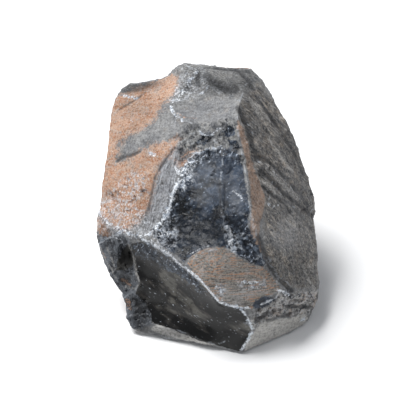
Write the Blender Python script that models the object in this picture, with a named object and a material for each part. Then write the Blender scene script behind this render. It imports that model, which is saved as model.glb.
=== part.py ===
"""A boulder of banded mahogany obsidian, one solid stone broken to shape and resting on a small flat spot.

The stone is laid out on a map of its broad front, as a maker would measure it square-on along a line of
sight that looks down by SIGHT_TILT. A corner's three measures are millimetres across, up and toward the
viewer. Ridges join the corners. Each facet between ridges is a fracture surface, drawn like a film between
its ridges and hollowed or swelled to the radius of its scar. Flake scars are then bitten out of the block.
"""

import math

import bmesh
import bpy
import numpy as np
from mathutils import Matrix, Vector, noise
from mathutils.geometry import delaunay_2d_cdt
from mathutils.kdtree import KDTree

MM = 0.001
SIGHT_TILT = math.radians(40)
MAP_HEIGHT = 114  # mm from the flat spot up to the middle of the front map
FRONT_EDGE = 16  # mm, longest edge of the finished mesh on the mapped front
HIDDEN_EDGE = 26  # mm, and on the back and underside
GROOVE_EDGE = 7  # mm, and beside a groove
SPLIT_PASSES = 8
FILM_STEPS = 500
STONE_SEED = 7.3

# Corners that the front map shows, by feature: (across, up, toward), in mm.
FRONT_CORNERS = {
    # Round the outline, clockwise from the highest point.
    "skyline": [
        (-29, 176, -27), (17, 171, -28), (52, 169, -27), (67, 152, -20), (78, 134, -15), (93, 105, -15),
        (109, 71, -17), (120, 40, -20), (127, 15, -23), (130, -4, -24), (128, -19, -20), (131, -40, -17),
        (132, -66, -12), (134, -97, 0), (130, -117, -5), (119, -136, -8), (98, -149, 3), (64, -161, 19),
        (39, -171, 31), (17, -166, 26), (-10, -161, 20), (-45, -155, 13), (-67, -150, 9), (-84, -148, 8),
        (-93, -141, 6), (-98, -128, 4), (-101, -110, 0), (-105, -99, -4), (-112, -90, -3), (-120, -75, -4),
        (-127, -59, -4), (-130, -44, -3), (-134, -30, -2), (-133, -10, -5), (-130, 1, -6), (-128, 22, -9),
        (-123, 52, -15), (-120, 81, -21), (-119, 108, -28), (-114, 130, -34), (-106, 145, -39),
        (-94, 153, -42), (-76, 156, -42), (-57, 157, -38), (-49, 161, -34), (-39, 171, -30),
    ],
    # Round the smooth scar on top, then the small chip on the far left shoulder.
    "crest": [
        (-34, 152, -8), (-36, 132, 8), (-42, 122, 14), (-26, 107, 28), (-9, 99, 36), (13, 104, 45),
        (35, 113, 50), (38, 127, 36), (17, 130, 24), (-14, 149, -2),
    ],
    "shoulder": [(-101, 141, -35), (-85, 141, -29), (-71, 147, -32)],
    # Round the black glass scar: its brow, its left lip, the seam down its middle.
    "brow": [(-35, 55, 47), (-22, 63, 53), (-9, 67, 57), (5, 68, 61), (20, 65, 65), (34, 58, 68)],
    "lip": [(-35, 27, 53), (-45, 4, 53), (-48, -13, 55), (-62, -32, 53)],
    "seam": [(14, 35, 70), (17, -7, 80)],
    # Both edges of the narrow brown strap that falls from the peak.
    "strap": [
        (35, 102, 56), (36, 80, 62), (42, 53, 69), (46, 30, 75), (48, 6, 79), (51, -12, 81), (57, -33, 81),
        (63, -51, 77),
    ],
    "side": [(45, 76, 57), (52, 50, 60), (60, 25, 61), (69, 6, 60), (65, -16, 68)],
    # The grey cheek left of the black scar, and the knob below the brown flank.
    "cheek": [(-35, 77, 43), (-47, 60, 41), (-57, 44, 39), (-64, 19, 38), (-70, -5, 38), (-72, -24, 41)],
    "knob": [(-115, 2, 8), (-107, -15, 18), (-122, -40, 3)],
    # The long sharp spine over the dark scoop.
    "spine": [
        (-105, -30, 22), (-88, -34, 36), (-72, -35, 46), (-53, -50, 60), (-24, -69, 72), (-6, -87, 75),
        (16, -111, 68), (33, -116, 63), (42, -121, 60), (51, -147, 43),
    ],
    # The banded shelf, the low right end and its nook.
    "shelf": [(-12, -54, 77), (5, -49, 81), (21, -46, 84), (37, -57, 82), (55, -60, 77), (70, -76, 67)],
    "low": [(76, -72, 69), (90, -96, 52), (110, -98, 29)],
    "nook": [(52, -118, 58), (62, -105, 58), (81, -104, 53)],
    "under": [(71, -142, 31), (92, -138, 15)],
    # The left and lower edges of the scoop, and the sill below it.
    "scoop": [(-88, -56, 22), (-86, -74, 16), (-81, -93, 14), (-90, -107, 6), (-92, -122, 5), (-81, -133, 9)],
    "sill": [(-73, -139, 15), (-33, -146, 25), (1, -159, 30)],
    "ear": [(-98, -99, 0)],
}

# Corners behind and below: (right, back, above the flat spot), in mm.
HIDDEN_CORNERS = {
    "rear": [(-58, 142, 128), (24, 150, 120), (92, 110, 128), (-112, 62, 88), (-92, 66, 40), (-24, 118, 38),
             (52, 118, 42), (112, 52, 44), (-104, -10, 38)],
    "base": [(30, -70, 0), (62, -38, 0), (66, 18, 0), (30, 60, 0), (-28, 50, 0), (-50, 0, 0), (-38, -56, 0)],
}

FRONT_RIDGES = [
    "skyline45 crest1 crest2 crest3 crest4 crest5 crest6 crest7 crest8 crest9 crest10 crest1",
    "crest8 skyline3",
    "skyline41 shoulder1 shoulder2 shoulder3 skyline44",
    "crest5 cheek1 cheek2 cheek3 cheek4 cheek5 cheek6 spine3",
    "cheek1 brow2",
    "crest7 strap1 strap2 strap3 strap4 strap5 strap6 strap7 strap8",
    "strap1 side1 side2 side3 side4 side5 strap8",
    "lip4 lip3 lip2 lip1 brow1 brow2 brow3 brow4 brow5 brow6 strap3",
    "brow5 seam1 seam2 shelf3",
    "spine3 lip4 spine4",
    "skyline35 knob1 knob2 spine1 knob3 skyline32",
    "spine1 spine2 spine3 spine4 spine5 spine6 spine7 spine8 spine9 spine10 skyline19",
    "spine5 shelf1 shelf2 shelf3 shelf4 shelf5 shelf6 low2",
    "shelf5 strap8 low1 low2 low3 skyline14",
    "spine9 nook1 nook2 nook3 low2",
    "spine10 under1 under2 skyline16",
    "spine2 scoop1 scoop2 scoop3 scoop4 scoop5 scoop6 sill1 sill2 sill3 skyline20",
    "scoop3 ear1 skyline28",
    "sill1 skyline24",
]
HIDDEN_RIDGES = [
    "skyline44 rear1 rear6 base5",
    "rear1 rear2 rear3",
    "skyline3 rear3 rear8 base3",
    "skyline37 rear4 rear1",
    "rear4 rear5 rear6 rear7 rear8",
    "rear5 rear9 base7",
    "skyline31 rear9",
    "rear5 base6",
    "rear8 skyline12",
    "skyline16 base2",
    "skyline19 base1",
    "skyline24 base7",
    "base1 base2 base3 base4 base5 base6 base7 base1",
]

# Facets by name: a point inside on the map (across, up), the scar's radius (mm; below 0 hollow, above 0
# swelling, 0 flat) and the height of its roughness (mm).
FRONT_FACETS = {
    "brown flank": ((-85, 80), 300, 0.8),
    "shoulder chip": ((-85, 149), -50, 0.6),
    "crown": ((10, 150), 220, 1.0),
    "top scar": ((0, 118), -110, 0.3),
    "hackle": ((5, 85), 260, 1.2),
    "strap": ((56, 15), 0, 0.5),
    "right flank": ((90, 20), 420, 0.8),
    "cheek": ((-52, 20), -130, 0.6),
    "black scar": ((-15, 0), -120, 0.4),
    "black scar right": ((35, 0), -80, 0.8),
    "lip chip": ((-63, -40), -45, 0.5),
    "shelf": ((30, -85), 500, 0.5),
    "sliver": ((66, -62), 0, 0.6),
    "low right": ((85, -118), 200, 1.8),
    "right undercut": ((70, -152), -400, 0.3),
    "scoop": ((-20, -110), -150, 0.2),
    "sill": ((-40, -150), -300, 0.3),
    "foot": ((-94, -132), 90, 1.0),
    "ear": ((-108, -70), 160, 1.0),
    "knob": ((-122, -20), 60, 1.0),
}
HIDDEN_FACETS = {
    "back high": ((0, 140), 300, 0.5),
    "back middle": ((20, 60), 600, 0.4),
    "left back": ((-95, 105), 500, 0.5),
    "left middle": ((-75, 40), -900, 0.7),
    "left side": ((-112, -10), 0, 0.8),
    "left low": ((-85, -70), -330, 0.6),
    "back left low": ((-60, -25), -380, 0.5),
    "back low": ((30, -10), -900, 0.5),
    "right back": ((112, 20), 500, 0.5),
    "right low": ((108, -70), -400, 0.5),
    "front low right": ((75, -148), 0, 0.4),
    "front low left": ((-10, -145), 0, 0.3),
    "corner low": ((-95, -110), -300, 0.6),
    "flat spot": ((10, -90), 0, 0),
}
FLAT_FACET = "flat spot"
FACETS = {**FRONT_FACETS, **HIDDEN_FACETS}
FACET_NUMBERS = {name: i for i, name in enumerate(FACETS, 1)}

# Ribs that a blow leaves in glass: the facet, where the blow fell on the map (across, up, toward), the
# spacing of the ribs and their height, in mm.
RIBS = [
    ("scoop", (-120, -40, 40), 26, 0.7),
    ("back middle", (20, 120, -110), 22, 0.9),
    ("back high", (-70, 175, -60), 24, 0.8),
    ("right back", (60, 160, -60), 24, 0.8),
    ("right low", (134, -97, 0), 20, 0.7),
    ("back low", (60, 20, -150), 20, 0.8),
]

# Grooves and ribs on the mapped front: height (mm, below 0 sunk), half width (mm) and line (across, up).
GROOVES = [
    # Upper groove of the right flank.
    (-1.8, 4.6, ((60, 61), (76, 51), (94, 33), (108, 19), (119, 2))),
    # Middle groove.
    (-2.2, 4.8, ((62, 44), (75, 30), (89, 18), (102, 7), (118, -2), (127, -12))),
    # Lower groove.
    (-1.6, 4.4, ((80, 14), (97, 4), (112, -11), (124, -26))),
    # Far groove.
    (-1.2, 4.4, ((75, 108), (90, 88), (103, 64), (114, 39))),
    # Rib between.
    (1.4, 4.8, ((64, 53), (80, 40), (98, 24), (115, 6))),
    # Rib under.
    (1.4, 4.8, ((68, 28), (85, 14), (102, 1), (120, -17))),
    # Side of the strap.
    (-2.0, 3.2, ((40, 113), (46, 94), (52, 73), (58, 50))),
    # Foot of the right flank.
    (-2.6, 3.6, ((59, -35), (65, -51), (72, -70), (84, -86), (97, -98))),
    # Curl at the right end.
    (-1.4, 3.0, ((112, -64), (114, -80), (122, -92), (132, -96))),
    # Rim of the top scar.
    (1.8, 3.2, ((-36, 144), (-41, 132), (-43, 119), (-34, 107), (-19, 98))),
    # Floor of the top scar.
    (-2.4, 5.0, ((-26, 128), (-12, 116), (7, 112), (24, 118))),
    # Lobe of the crown.
    (2.2, 5.5, ((-2, 151), (6, 142), (17, 136))),
    # Dark hollow of the crown.
    (-2.4, 5.0, ((7, 154), (22, 146), (33, 141))),
    # Notch by the peak.
    (-2.2, 4.0, ((-11, 164), (-13, 154), (-22, 144))),
    # Second hollow.
    (-1.6, 4.0, ((44, 149), (53, 139), (57, 126))),
    # Seam beside the black scar.
    (-1.6, 2.6, ((15, 35), (18, 15), (19, -5), (20, -21))),
    # Crushed column.
    (2.0, 3.0, ((22, -24), (24, -37), (28, -48))),
    # Shatter 1.
    (-2.8, 3.4, ((35, -21), (41, -32), (45, -44), (55, -54))),
    # Shatter 2.
    (1.8, 2.8, ((31, -35), (37, -46), (46, -56))),
    # Hackle 1.
    (-1.4, 2.6, ((-14, 91), (-5, 84), (2, 79))),
    # Hackle 2.
    (1.4, 2.8, ((-26, 80), (-13, 72), (-2, 74), (9, 78))),
    # Step over the brow.
    (-1.6, 2.8, ((-7, 68), (6, 64), (19, 70), (28, 62))),
    # Band step.
    (-1.0, 3.0, ((-111, 56), (-96, 67), (-79, 74), (-62, 80), (-43, 88))),
    # Band top.
    (-0.9, 3.0, ((-110, 70), (-94, 85), (-74, 96), (-51, 105), (-36, 103))),
    # Dark thin crack.
    (-0.9, 2.2, ((-107, 118), (-92, 127), (-76, 139))),
    # Cheek groove.
    (-1.6, 2.8, ((-44, 66), (-54, 47), (-64, 28), (-69, 10), (-72, -10))),
    # Cheek rib.
    (1.2, 3.0, ((-48, 47), (-57, 27), (-61, 7), (-62, -14))),
    # Scoop wave 1.
    (-1.2, 5.0, ((-74, -64), (-51, -80), (-31, -94), (-14, -112))),
    # Scoop wave 2.
    (1.2, 5.0, ((-78, -85), (-57, -101), (-31, -116), (-2, -125), (21, -130))),
    # Scoop wave 3.
    (-1.2, 5.0, ((-80, -105), (-57, -120), (-28, -133), (5, -140), (38, -142))),
    # Ear rim.
    (1.6, 3.0, ((-93, -43), (-91, -59), (-86, -74), (-81, -87), (-84, -98))),
    # Ear hollow.
    (-2.2, 4.0, ((-105, -82), (-93, -86), (-87, -93))),
    # Low step.
    (-1.8, 3.0, ((64, -130), (80, -123), (98, -124), (115, -120))),
    # Low chunk.
    (2.2, 3.6, ((88, -99), (99, -104), (113, -101), (124, -105))),
    # Low pit.
    (-2.4, 3.2, ((92, -115), (105, -120), (117, -115))),
    # Shelf nick.
    (-1.8, 3.2, ((9, -92), (16, -97))),
]

# Bites that flakes and bruises left: centre on the map, the ellipsoid's half sizes and its turn about the
# line of sight in degrees.
BITES = [
    # The pocket at the left end of the scoop, and the nook under the shelf.
    ((-99, -60, 20), (12, 20, 15), 4),
    ((68, -111, 67), (15, 9, 12), 18),
    # Chips over the brow, on the outline left and right, and in the shattered corner of the black scar.
    ((22, 90, 66), (9, 7, 9), 0),
    ((-1, 86, 60), (7, 4, 7), 20),
    ((-124, 108, -26), (7, 11, 10), 0),
    ((132, -10, -16), (9, 13, 10), 0),
    ((46, -37, 88), (10, 12, 9), -30),
    # Broad scars on the back and the sides.
    ((-80, 250, -203), (190, 190, 190), 0),
    ((105, 217, -160), (150, 150, 150), 0),
    ((4, 140, -322), (230, 230, 230), 0),
    ((233, 62, -121), (150, 150, 150), 0),
    ((-214, 83, -126), (140, 140, 140), 0),
    ((-195, -64, -117), (120, 120, 120), 0),
    ((152, -102, -92), (86, 86, 86), 0),
    ((29, -41, -230), (118, 118, 118), 0),
    ((134, 59, -164), (100, 100, 100), 0),
    ((-139, 53, -168), (110, 110, 110), 0),
]


def from_map(corner):
    """The place in the stone's own frame, in mm, of a corner measured on the front map."""
    across, up, toward = corner
    sine, cosine = math.sin(SIGHT_TILT), math.cos(SIGHT_TILT)
    return Vector((across, up * sine - toward * cosine, up * cosine + toward * sine + MAP_HEIGHT))


def to_map(place):
    """The front map's measures of a place in the stone's own frame."""
    right, back, above = place
    sine, cosine = math.sin(SIGHT_TILT), math.cos(SIGHT_TILT)
    height = above - MAP_HEIGHT
    return Vector((right, back * sine + height * cosine, height * sine - back * cosine))


def corner_table():
    """Every corner by name, such as crest3, measured on the map."""
    table = {}
    for feature, corners in FRONT_CORNERS.items():
        for number, corner in enumerate(corners, 1):
            table[f"{feature}{number}"] = Vector(corner)
    for feature, places in HIDDEN_CORNERS.items():
        for number, place in enumerate(places, 1):
            table[f"{feature}{number}"] = to_map(place)
    return table


def ridge_pairs(ridges):
    """The pairs of corner names that a list of ridges joins."""
    pairs = set()
    for ridge in ridges:
        names = ridge.split()
        pairs |= set(zip(names, names[1:]))
    return pairs


def add_side(stone, verts, table, names, pairs, facets, facing):
    """Triangulates the corners of one side between its ridges, and gives each triangle its facet's number."""
    number_of = {name: i for i, name in enumerate(names)}
    flat = [table[name].xy for name in names]
    edges = [(number_of[a], number_of[b]) for a, b in pairs]
    _, _, triangles, origins, _, _ = delaunay_2d_cdt(flat, edges, [], 1, 1e-4)
    faces = {}
    for triangle in triangles:
        corners = [verts[names[origins[i][0]]] for i in triangle]
        faces[tuple(triangle)] = stone.faces.new(corners if facing > 0 else corners[::-1])
    for a, b in pairs:
        edge = stone.edges.get((verts[a], verts[b]))
        edge.smooth = False
    layer = stone.faces.layers.int["facet"]
    for facet, (seed, _, _) in facets.items():
        spot = Vector(seed)
        start = [f for t, f in faces.items() if holds(spot, [flat[origins[i][0]] for i in t])]
        if start[0][layer]:
            raise ValueError(f"{facet} shares its ridges with another facet")
        spread_facet(start[0], layer, FACET_NUMBERS[facet])


def holds(spot, triangle):
    a, b, c = triangle
    turns = [(q - p).cross(spot - p) for p, q in ((a, b), (b, c), (c, a))]
    return min(turns) >= 0


def spread_facet(start, layer, number):
    """Numbers every face that can be reached from start without crossing a ridge."""
    waiting = [start]
    while waiting:
        face = waiting.pop()
        if face[layer] == number:
            continue
        face[layer] = number
        for edge in face.edges:
            if edge.smooth:
                waiting += [f for f in edge.link_faces if f[layer] != number]


def block_of_corners():
    """The stone as flat triangles between its corners, with its ridges sharp and its facets numbered."""
    table = corner_table()
    stone = bmesh.new()
    stone.faces.layers.int.new("facet")
    verts = {name: stone.verts.new(from_map(place)) for name, place in table.items()}
    outline = [f"skyline{i}" for i in range(1, len(FRONT_CORNERS["skyline"]) + 1)]
    rim = set(zip(outline, outline[1:] + outline[:1]))
    hidden = [f"{feature}{i}" for feature, places in HIDDEN_CORNERS.items() for i in range(1, len(places) + 1)]
    front = [name for name in table if name not in hidden]
    add_side(stone, verts, table, front, rim | ridge_pairs(FRONT_RIDGES), FRONT_FACETS, 1)
    add_side(stone, verts, table, outline + hidden, rim | ridge_pairs(HIDDEN_RIDGES), HIDDEN_FACETS, -1)
    return stone


def refine(stone):
    """Splits long edges and evens out the triangles, keeping the ridges."""
    layer = stone.faces.layers.int["facet"]
    tree, grooves = groove_tree()

    def too_long(edge):
        length = edge.calc_length()
        if all(face[layer] > len(FRONT_FACETS) for face in edge.link_faces):
            return length > HIDDEN_EDGE
        if length < GROOVE_EDGE:
            return False
        across, up, _ = to_map((edge.verts[0].co + edge.verts[1].co) / 2)
        _, index, far = tree.find((across, up, 0))
        return length > FRONT_EDGE or far < 1.6 * grooves[index][1]

    for _ in range(SPLIT_PASSES):
        long_edges = [edge for edge in stone.edges if too_long(edge)]
        bmesh.ops.subdivide_edges(stone, edges=long_edges, cuts=1)
        bmesh.ops.triangulate(stone, faces=[face for face in stone.faces if len(face.verts) > 3])
        inner = [edge for edge in stone.edges if edge.smooth]
        bmesh.ops.beautify_fill(stone, faces=stone.faces[:], edges=inner, method="ANGLE")


def groove_tree():
    """Points about 1 mm apart along every groove, in a tree for finding the nearest, and each one's groove."""
    points = []
    for groove in GROOVES:
        for start, end in zip(groove[2], groove[2][1:]):
            start, end = Vector((*start, 0)), Vector((*end, 0))
            count = math.ceil((end - start).length)
            points += [(start.lerp(end, i / count), groove) for i in range(count + 1)]
    tree = KDTree(len(points))
    for i, (point, _) in enumerate(points):
        tree.insert(point, i)
    tree.balance()
    return tree, [groove for _, groove in points]


def per_vertex(stone, measure):
    """The mean, at each vertex, of a measure of the facets that meet there."""
    layer = stone.faces.layers.int["facet"]
    by_number = [0.0] + [measure(name) for name in FACETS]
    return np.array([np.mean([by_number[f[layer]] for f in v.link_faces]) for v in stone.verts])


def normals_of(places, triangles):
    """Unit normals at the vertices."""
    a, b, c = (places[triangles[:, i]] for i in range(3))
    crosses = np.cross(b - a, c - a)
    totals = np.zeros_like(places)
    for i in range(3):
        np.add.at(totals, triangles[:, i], crosses)
    return totals / np.maximum(np.linalg.norm(totals, axis=1, keepdims=True), 1e-9)


def draw_films(stone):
    """Draws each facet into a smooth film between its ridges, hollowed or swelled to its scar's radius."""
    stone.verts.index_update()
    places = np.array([v.co for v in stone.verts])
    triangles = np.array([[v.index for v in f.verts] for f in stone.faces])
    free = np.array([all(e.smooth for e in v.link_edges) for v in stone.verts])
    ends = np.array([[v.index for v in e.verts] for e in stone.edges])
    ends = np.concatenate([ends, ends[:, ::-1]])
    count = np.bincount(ends[:, 0], minlength=len(places))[:, None]
    bulge = per_vertex(stone, lambda name: 2 / FACETS[name][1] if FACETS[name][1] else 0)[:, None]
    for _ in range(FILM_STEPS):
        spans = places[ends[:, 1]] - places[ends[:, 0]]
        step, reach = np.zeros_like(places), np.zeros(len(places))
        np.add.at(step, ends[:, 0], spans)
        np.add.at(reach, ends[:, 0], (spans**2).sum(1))
        step = step / count + normals_of(places, triangles) * bulge * reach[:, None] / count / 4
        places[free] += step[free]
    for vert, place in zip(stone.verts, places):
        vert.co = place


def roughen(stone):
    """Raises the ribs and the roughness of each facet along the normals, and leaves the flat spot flat."""
    layer = stone.faces.layers.int["facet"]
    stone.normal_update()
    rough = per_vertex(stone, lambda name: FACETS[name][2])
    flat = FACET_NUMBERS[FLAT_FACET]
    shift = Vector((STONE_SEED, 0, 0))
    tree, grooves = groove_tree()
    moves = []
    for vert, height in zip(stone.verts, rough):
        numbers = {face[layer] for face in vert.link_faces}
        if flat in numbers:
            moves.append(0)
            continue
        lumps = noise.fractal(vert.co / 26 + shift, 0.8, 2.1, 3)
        move = height * lumps
        if not all(edge.smooth for edge in vert.link_edges):
            move -= height * abs(noise.noise(vert.co / 11 + shift)) * 1.6
        if min(numbers) <= len(FRONT_FACETS):
            across, up, _ = to_map(vert.co)
            nearest = {}
            for _, index, far in tree.find_range((across, up, 0), 12):
                nearest[grooves[index]] = min(far, nearest.get(grooves[index], far))
            move += sum(grooved[0] * math.exp(-((far / grooved[1]) ** 2)) for grooved, far in nearest.items())
        for facet, blow, spacing, rib in RIBS:
            if numbers == {FACET_NUMBERS[facet]}:
                far = (vert.co - from_map(blow)).length
                move += rib * math.sin(math.tau * far / spacing)
        moves.append(move)
    for vert, move in zip(stone.verts, moves):
        vert.co += vert.normal * move
        if move:
            vert.co.z = max(vert.co.z, 0.3)


def stone_object(stone, material):
    mesh = bpy.data.meshes.new("boulder")
    stone.to_mesh(mesh)
    mesh.materials.append(material)
    boulder = bpy.data.objects.new("boulder", mesh)
    bpy.context.scene.collection.objects.link(boulder)
    return boulder


def bite_cutter(centre, sizes, turn):
    """One ellipsoid in the stone's millimetres, its third size facing out of the map."""
    facing = Matrix.Rotation(math.pi / 2 - SIGHT_TILT, 4, "X") @ Matrix.Rotation(math.radians(turn), 4, "Z")
    place = Matrix.Translation(from_map(centre)) @ facing @ Matrix.Diagonal((*sizes, 1))
    ball = bmesh.new()
    bmesh.ops.create_icosphere(ball, subdivisions=4 if min(sizes) > 50 else 2, radius=1, matrix=place)
    mesh = bpy.data.meshes.new("bite")
    ball.to_mesh(mesh)
    ball.free()
    cutter = bpy.data.objects.new("bite", mesh)
    bpy.context.scene.collection.objects.link(cutter)
    cutter.hide_render = True
    cutter.display_type = "WIRE"
    return cutter


def bite(boulder):
    """Cuts the flake scars out of the stone one after another, as they were struck."""
    cutters = [bite_cutter(*row) for row in BITES]
    for cutter in cutters:
        cut = boulder.modifiers.new("bite", "BOOLEAN")
        cut.object = cutter
        cut.operation = "DIFFERENCE"
        cut.solver = "EXACT"
    bpy.context.view_layer.update()
    cut_mesh = bpy.data.meshes.new_from_object(boulder.evaluated_get(bpy.context.evaluated_depsgraph_get()))
    boulder.modifiers.clear()
    boulder.data = cut_mesh
    for cutter in cutters:
        bpy.data.objects.remove(cutter)


def settle(boulder):
    """Turns millimetres into metres, and puts the origin at the middle of the footprint."""
    corners = np.array([v.co for v in boulder.data.vertices])
    low, high = corners.min(0), corners.max(0)
    middle = Vector(((low[0] + high[0]) / 2, (low[1] + high[1]) / 2, low[2]))
    boulder.data.transform(Matrix.Scale(MM, 4) @ Matrix.Translation(-middle))
    stone = bmesh.new()
    stone.from_mesh(boulder.data)
    bmesh.ops.remove_doubles(stone, verts=stone.verts[:], dist=0.0001)
    bmesh.ops.triangulate(stone, faces=stone.faces[:])
    stone.to_mesh(boulder.data)
    stone.free()
    boulder.data.shade_smooth()
    boulder.data.set_sharp_from_angle(angle=math.radians(24))


def obsidian():
    material = bpy.data.materials.new("mahogany obsidian")
    material.use_nodes = True
    shader = material.node_tree.nodes["Principled BSDF"]
    shader.inputs["Base Color"].default_value = (0.06, 0.055, 0.05, 1)
    shader.inputs["Roughness"].default_value = 0.35
    shader.inputs["Metallic"].default_value = 0
    return material


def main():
    for old in list(bpy.data.objects):
        bpy.data.objects.remove(old)
    stone = block_of_corners()
    refine(stone)
    draw_films(stone)
    roughen(stone)
    boulder = stone_object(stone, obsidian())
    stone.free()
    bite(boulder)
    settle(boulder)


main()
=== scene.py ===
import math

import bmesh
import bpy
import numpy as np
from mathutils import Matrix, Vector, noise
from mathutils.kdtree import KDTree


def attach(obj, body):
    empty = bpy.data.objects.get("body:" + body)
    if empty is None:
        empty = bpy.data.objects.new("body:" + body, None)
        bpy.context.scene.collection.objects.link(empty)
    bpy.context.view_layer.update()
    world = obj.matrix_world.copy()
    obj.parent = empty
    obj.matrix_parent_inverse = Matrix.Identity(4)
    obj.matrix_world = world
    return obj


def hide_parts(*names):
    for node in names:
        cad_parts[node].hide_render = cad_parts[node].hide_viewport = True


mm = 0.001

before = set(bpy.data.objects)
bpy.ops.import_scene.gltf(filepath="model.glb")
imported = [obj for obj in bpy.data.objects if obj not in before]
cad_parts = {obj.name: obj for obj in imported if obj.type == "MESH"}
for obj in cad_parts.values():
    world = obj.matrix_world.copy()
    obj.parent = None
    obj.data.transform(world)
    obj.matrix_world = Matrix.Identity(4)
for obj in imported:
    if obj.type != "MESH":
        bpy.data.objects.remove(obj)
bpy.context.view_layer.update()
print("frame loaded")


def hexToLinear(code):
    # sRGB hex such as "c8a084" to linear red, green, blue, alpha
    parts = [int(code[i : i + 2], 16) / 255 for i in (0, 2, 4)]
    return [c / 12.92 if c <= 0.04045 else ((c + 0.055) / 1.055) ** 2.4 for c in parts] + [1]


def addNode(tree, kind, inputs=None, **settings):
    # adds a node, sets its settings, and links or fills its inputs by name or number
    node = tree.nodes.new(kind)
    for name, value in settings.items():
        setattr(node, name, value)
    for key, value in (inputs or {}).items():
        if isinstance(value, bpy.types.NodeSocket):
            tree.links.new(value, node.inputs[key])
        else:
            node.inputs[key].default_value = hexToLinear(value) if isinstance(value, str) else value
    return node


# the front map is the stone seen along a line that looks down by the tilt: mm across, up and toward
mapView = {"tilt": math.radians(40), "middle": (0.2, -6.9, 114)}


def onMap(points):
    # points in mm, one per row, to their places on the front map
    x, y, z = (points - np.array(mapView["middle"])).T
    s, c = math.sin(mapView["tilt"]), math.cos(mapView["tilt"])
    return np.stack([x, y * s + z * c, z * s - y * c], 1)


def toLine(spots, line):
    # distance of each spot from a line of points, in mm
    far = np.full(len(spots), np.inf)
    for start, end in zip(np.array(line[:-1], float), np.array(line[1:], float)):
        span = end - start
        along = np.clip(((spots - start) @ span) / (span @ span), 0, 1)
        far = np.minimum(far, np.linalg.norm(spots - start - along[:, None] * span, axis=1))
    return far


def insideOutline(spots, outline):
    # distance of each spot from an outline in mm, above 0 inside it and below 0 outside
    inside = np.zeros(len(spots), bool)
    x, y = spots.T
    for (x0, y0), (x1, y1) in zip(outline, outline[1:] + outline[:1]):
        if y0 != y1:
            inside ^= ((y0 > y) != (y1 > y)) & (x < (x1 - x0) * (y - y0) / (y1 - y0) + x0)
    return np.where(inside, 1, -1) * toLine(spots, outline + outline[:1])


studio = {
    "distance": 2.5,  # m, from the camera to the middle of the map
    "lens": 180.3,  # mm
    "sensor": 36,  # mm
    "keyPower": 83.5,  # W
    "keySize": 1.2,  # m
    "keyPlace": (-0.92, 0.55, 2.25),  # m
    "sky": "f4f7fc",
    "skyStrength": 0.42,
    "floor": "f6f6f6",
    "floorSize": 8,  # m
    "floorRoughness": 0.9,
    "floorShine": 0.2,
}
middle = Vector(mapView["middle"]) * mm
lookUp = Vector((0, -math.cos(mapView["tilt"]), math.sin(mapView["tilt"])))  # from the stone to the camera
bpy.ops.object.select_all(action="DESELECT")
bpy.ops.object.camera_add(
    location=middle + lookUp * studio["distance"], rotation=(math.pi / 2 - mapView["tilt"], 0, 0)
)
camera = bpy.context.object
camera.data.lens = studio["lens"]
camera.data.sensor_width = studio["sensor"]
bpy.context.scene.camera = camera

bpy.ops.object.light_add(type="AREA", location=studio["keyPlace"])
key = bpy.context.object
key.data.energy = studio["keyPower"]
key.data.size = studio["keySize"]
key.rotation_euler = (middle - key.location).to_track_quat("-Z", "Y").to_euler()

sky = bpy.data.worlds.new("studio sky")
bpy.context.scene.world = sky
sky.use_nodes = True
background = sky.node_tree.nodes["Background"]
background.inputs["Color"].default_value = hexToLinear(studio["sky"])
background.inputs["Strength"].default_value = studio["skyStrength"]
bpy.context.scene.view_settings.view_transform = "Standard"

# seamless paper: matt and nearly white
paper = bpy.data.materials.new("white background paper")
paper.use_nodes = True
paperShader = paper.node_tree.nodes["Principled BSDF"]
paperShader.inputs["Base Color"].default_value = hexToLinear(studio["floor"])
paperShader.inputs["Roughness"].default_value = studio["floorRoughness"]
paperShader.inputs["Specular IOR Level"].default_value = studio["floorShine"]
bpy.ops.mesh.primitive_plane_add(size=studio["floorSize"], location=(0, 0, 0))
floor = bpy.context.object
floor.name = "floor"
floor.data.materials.append(paper)
print("camera, light and floor made")

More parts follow.
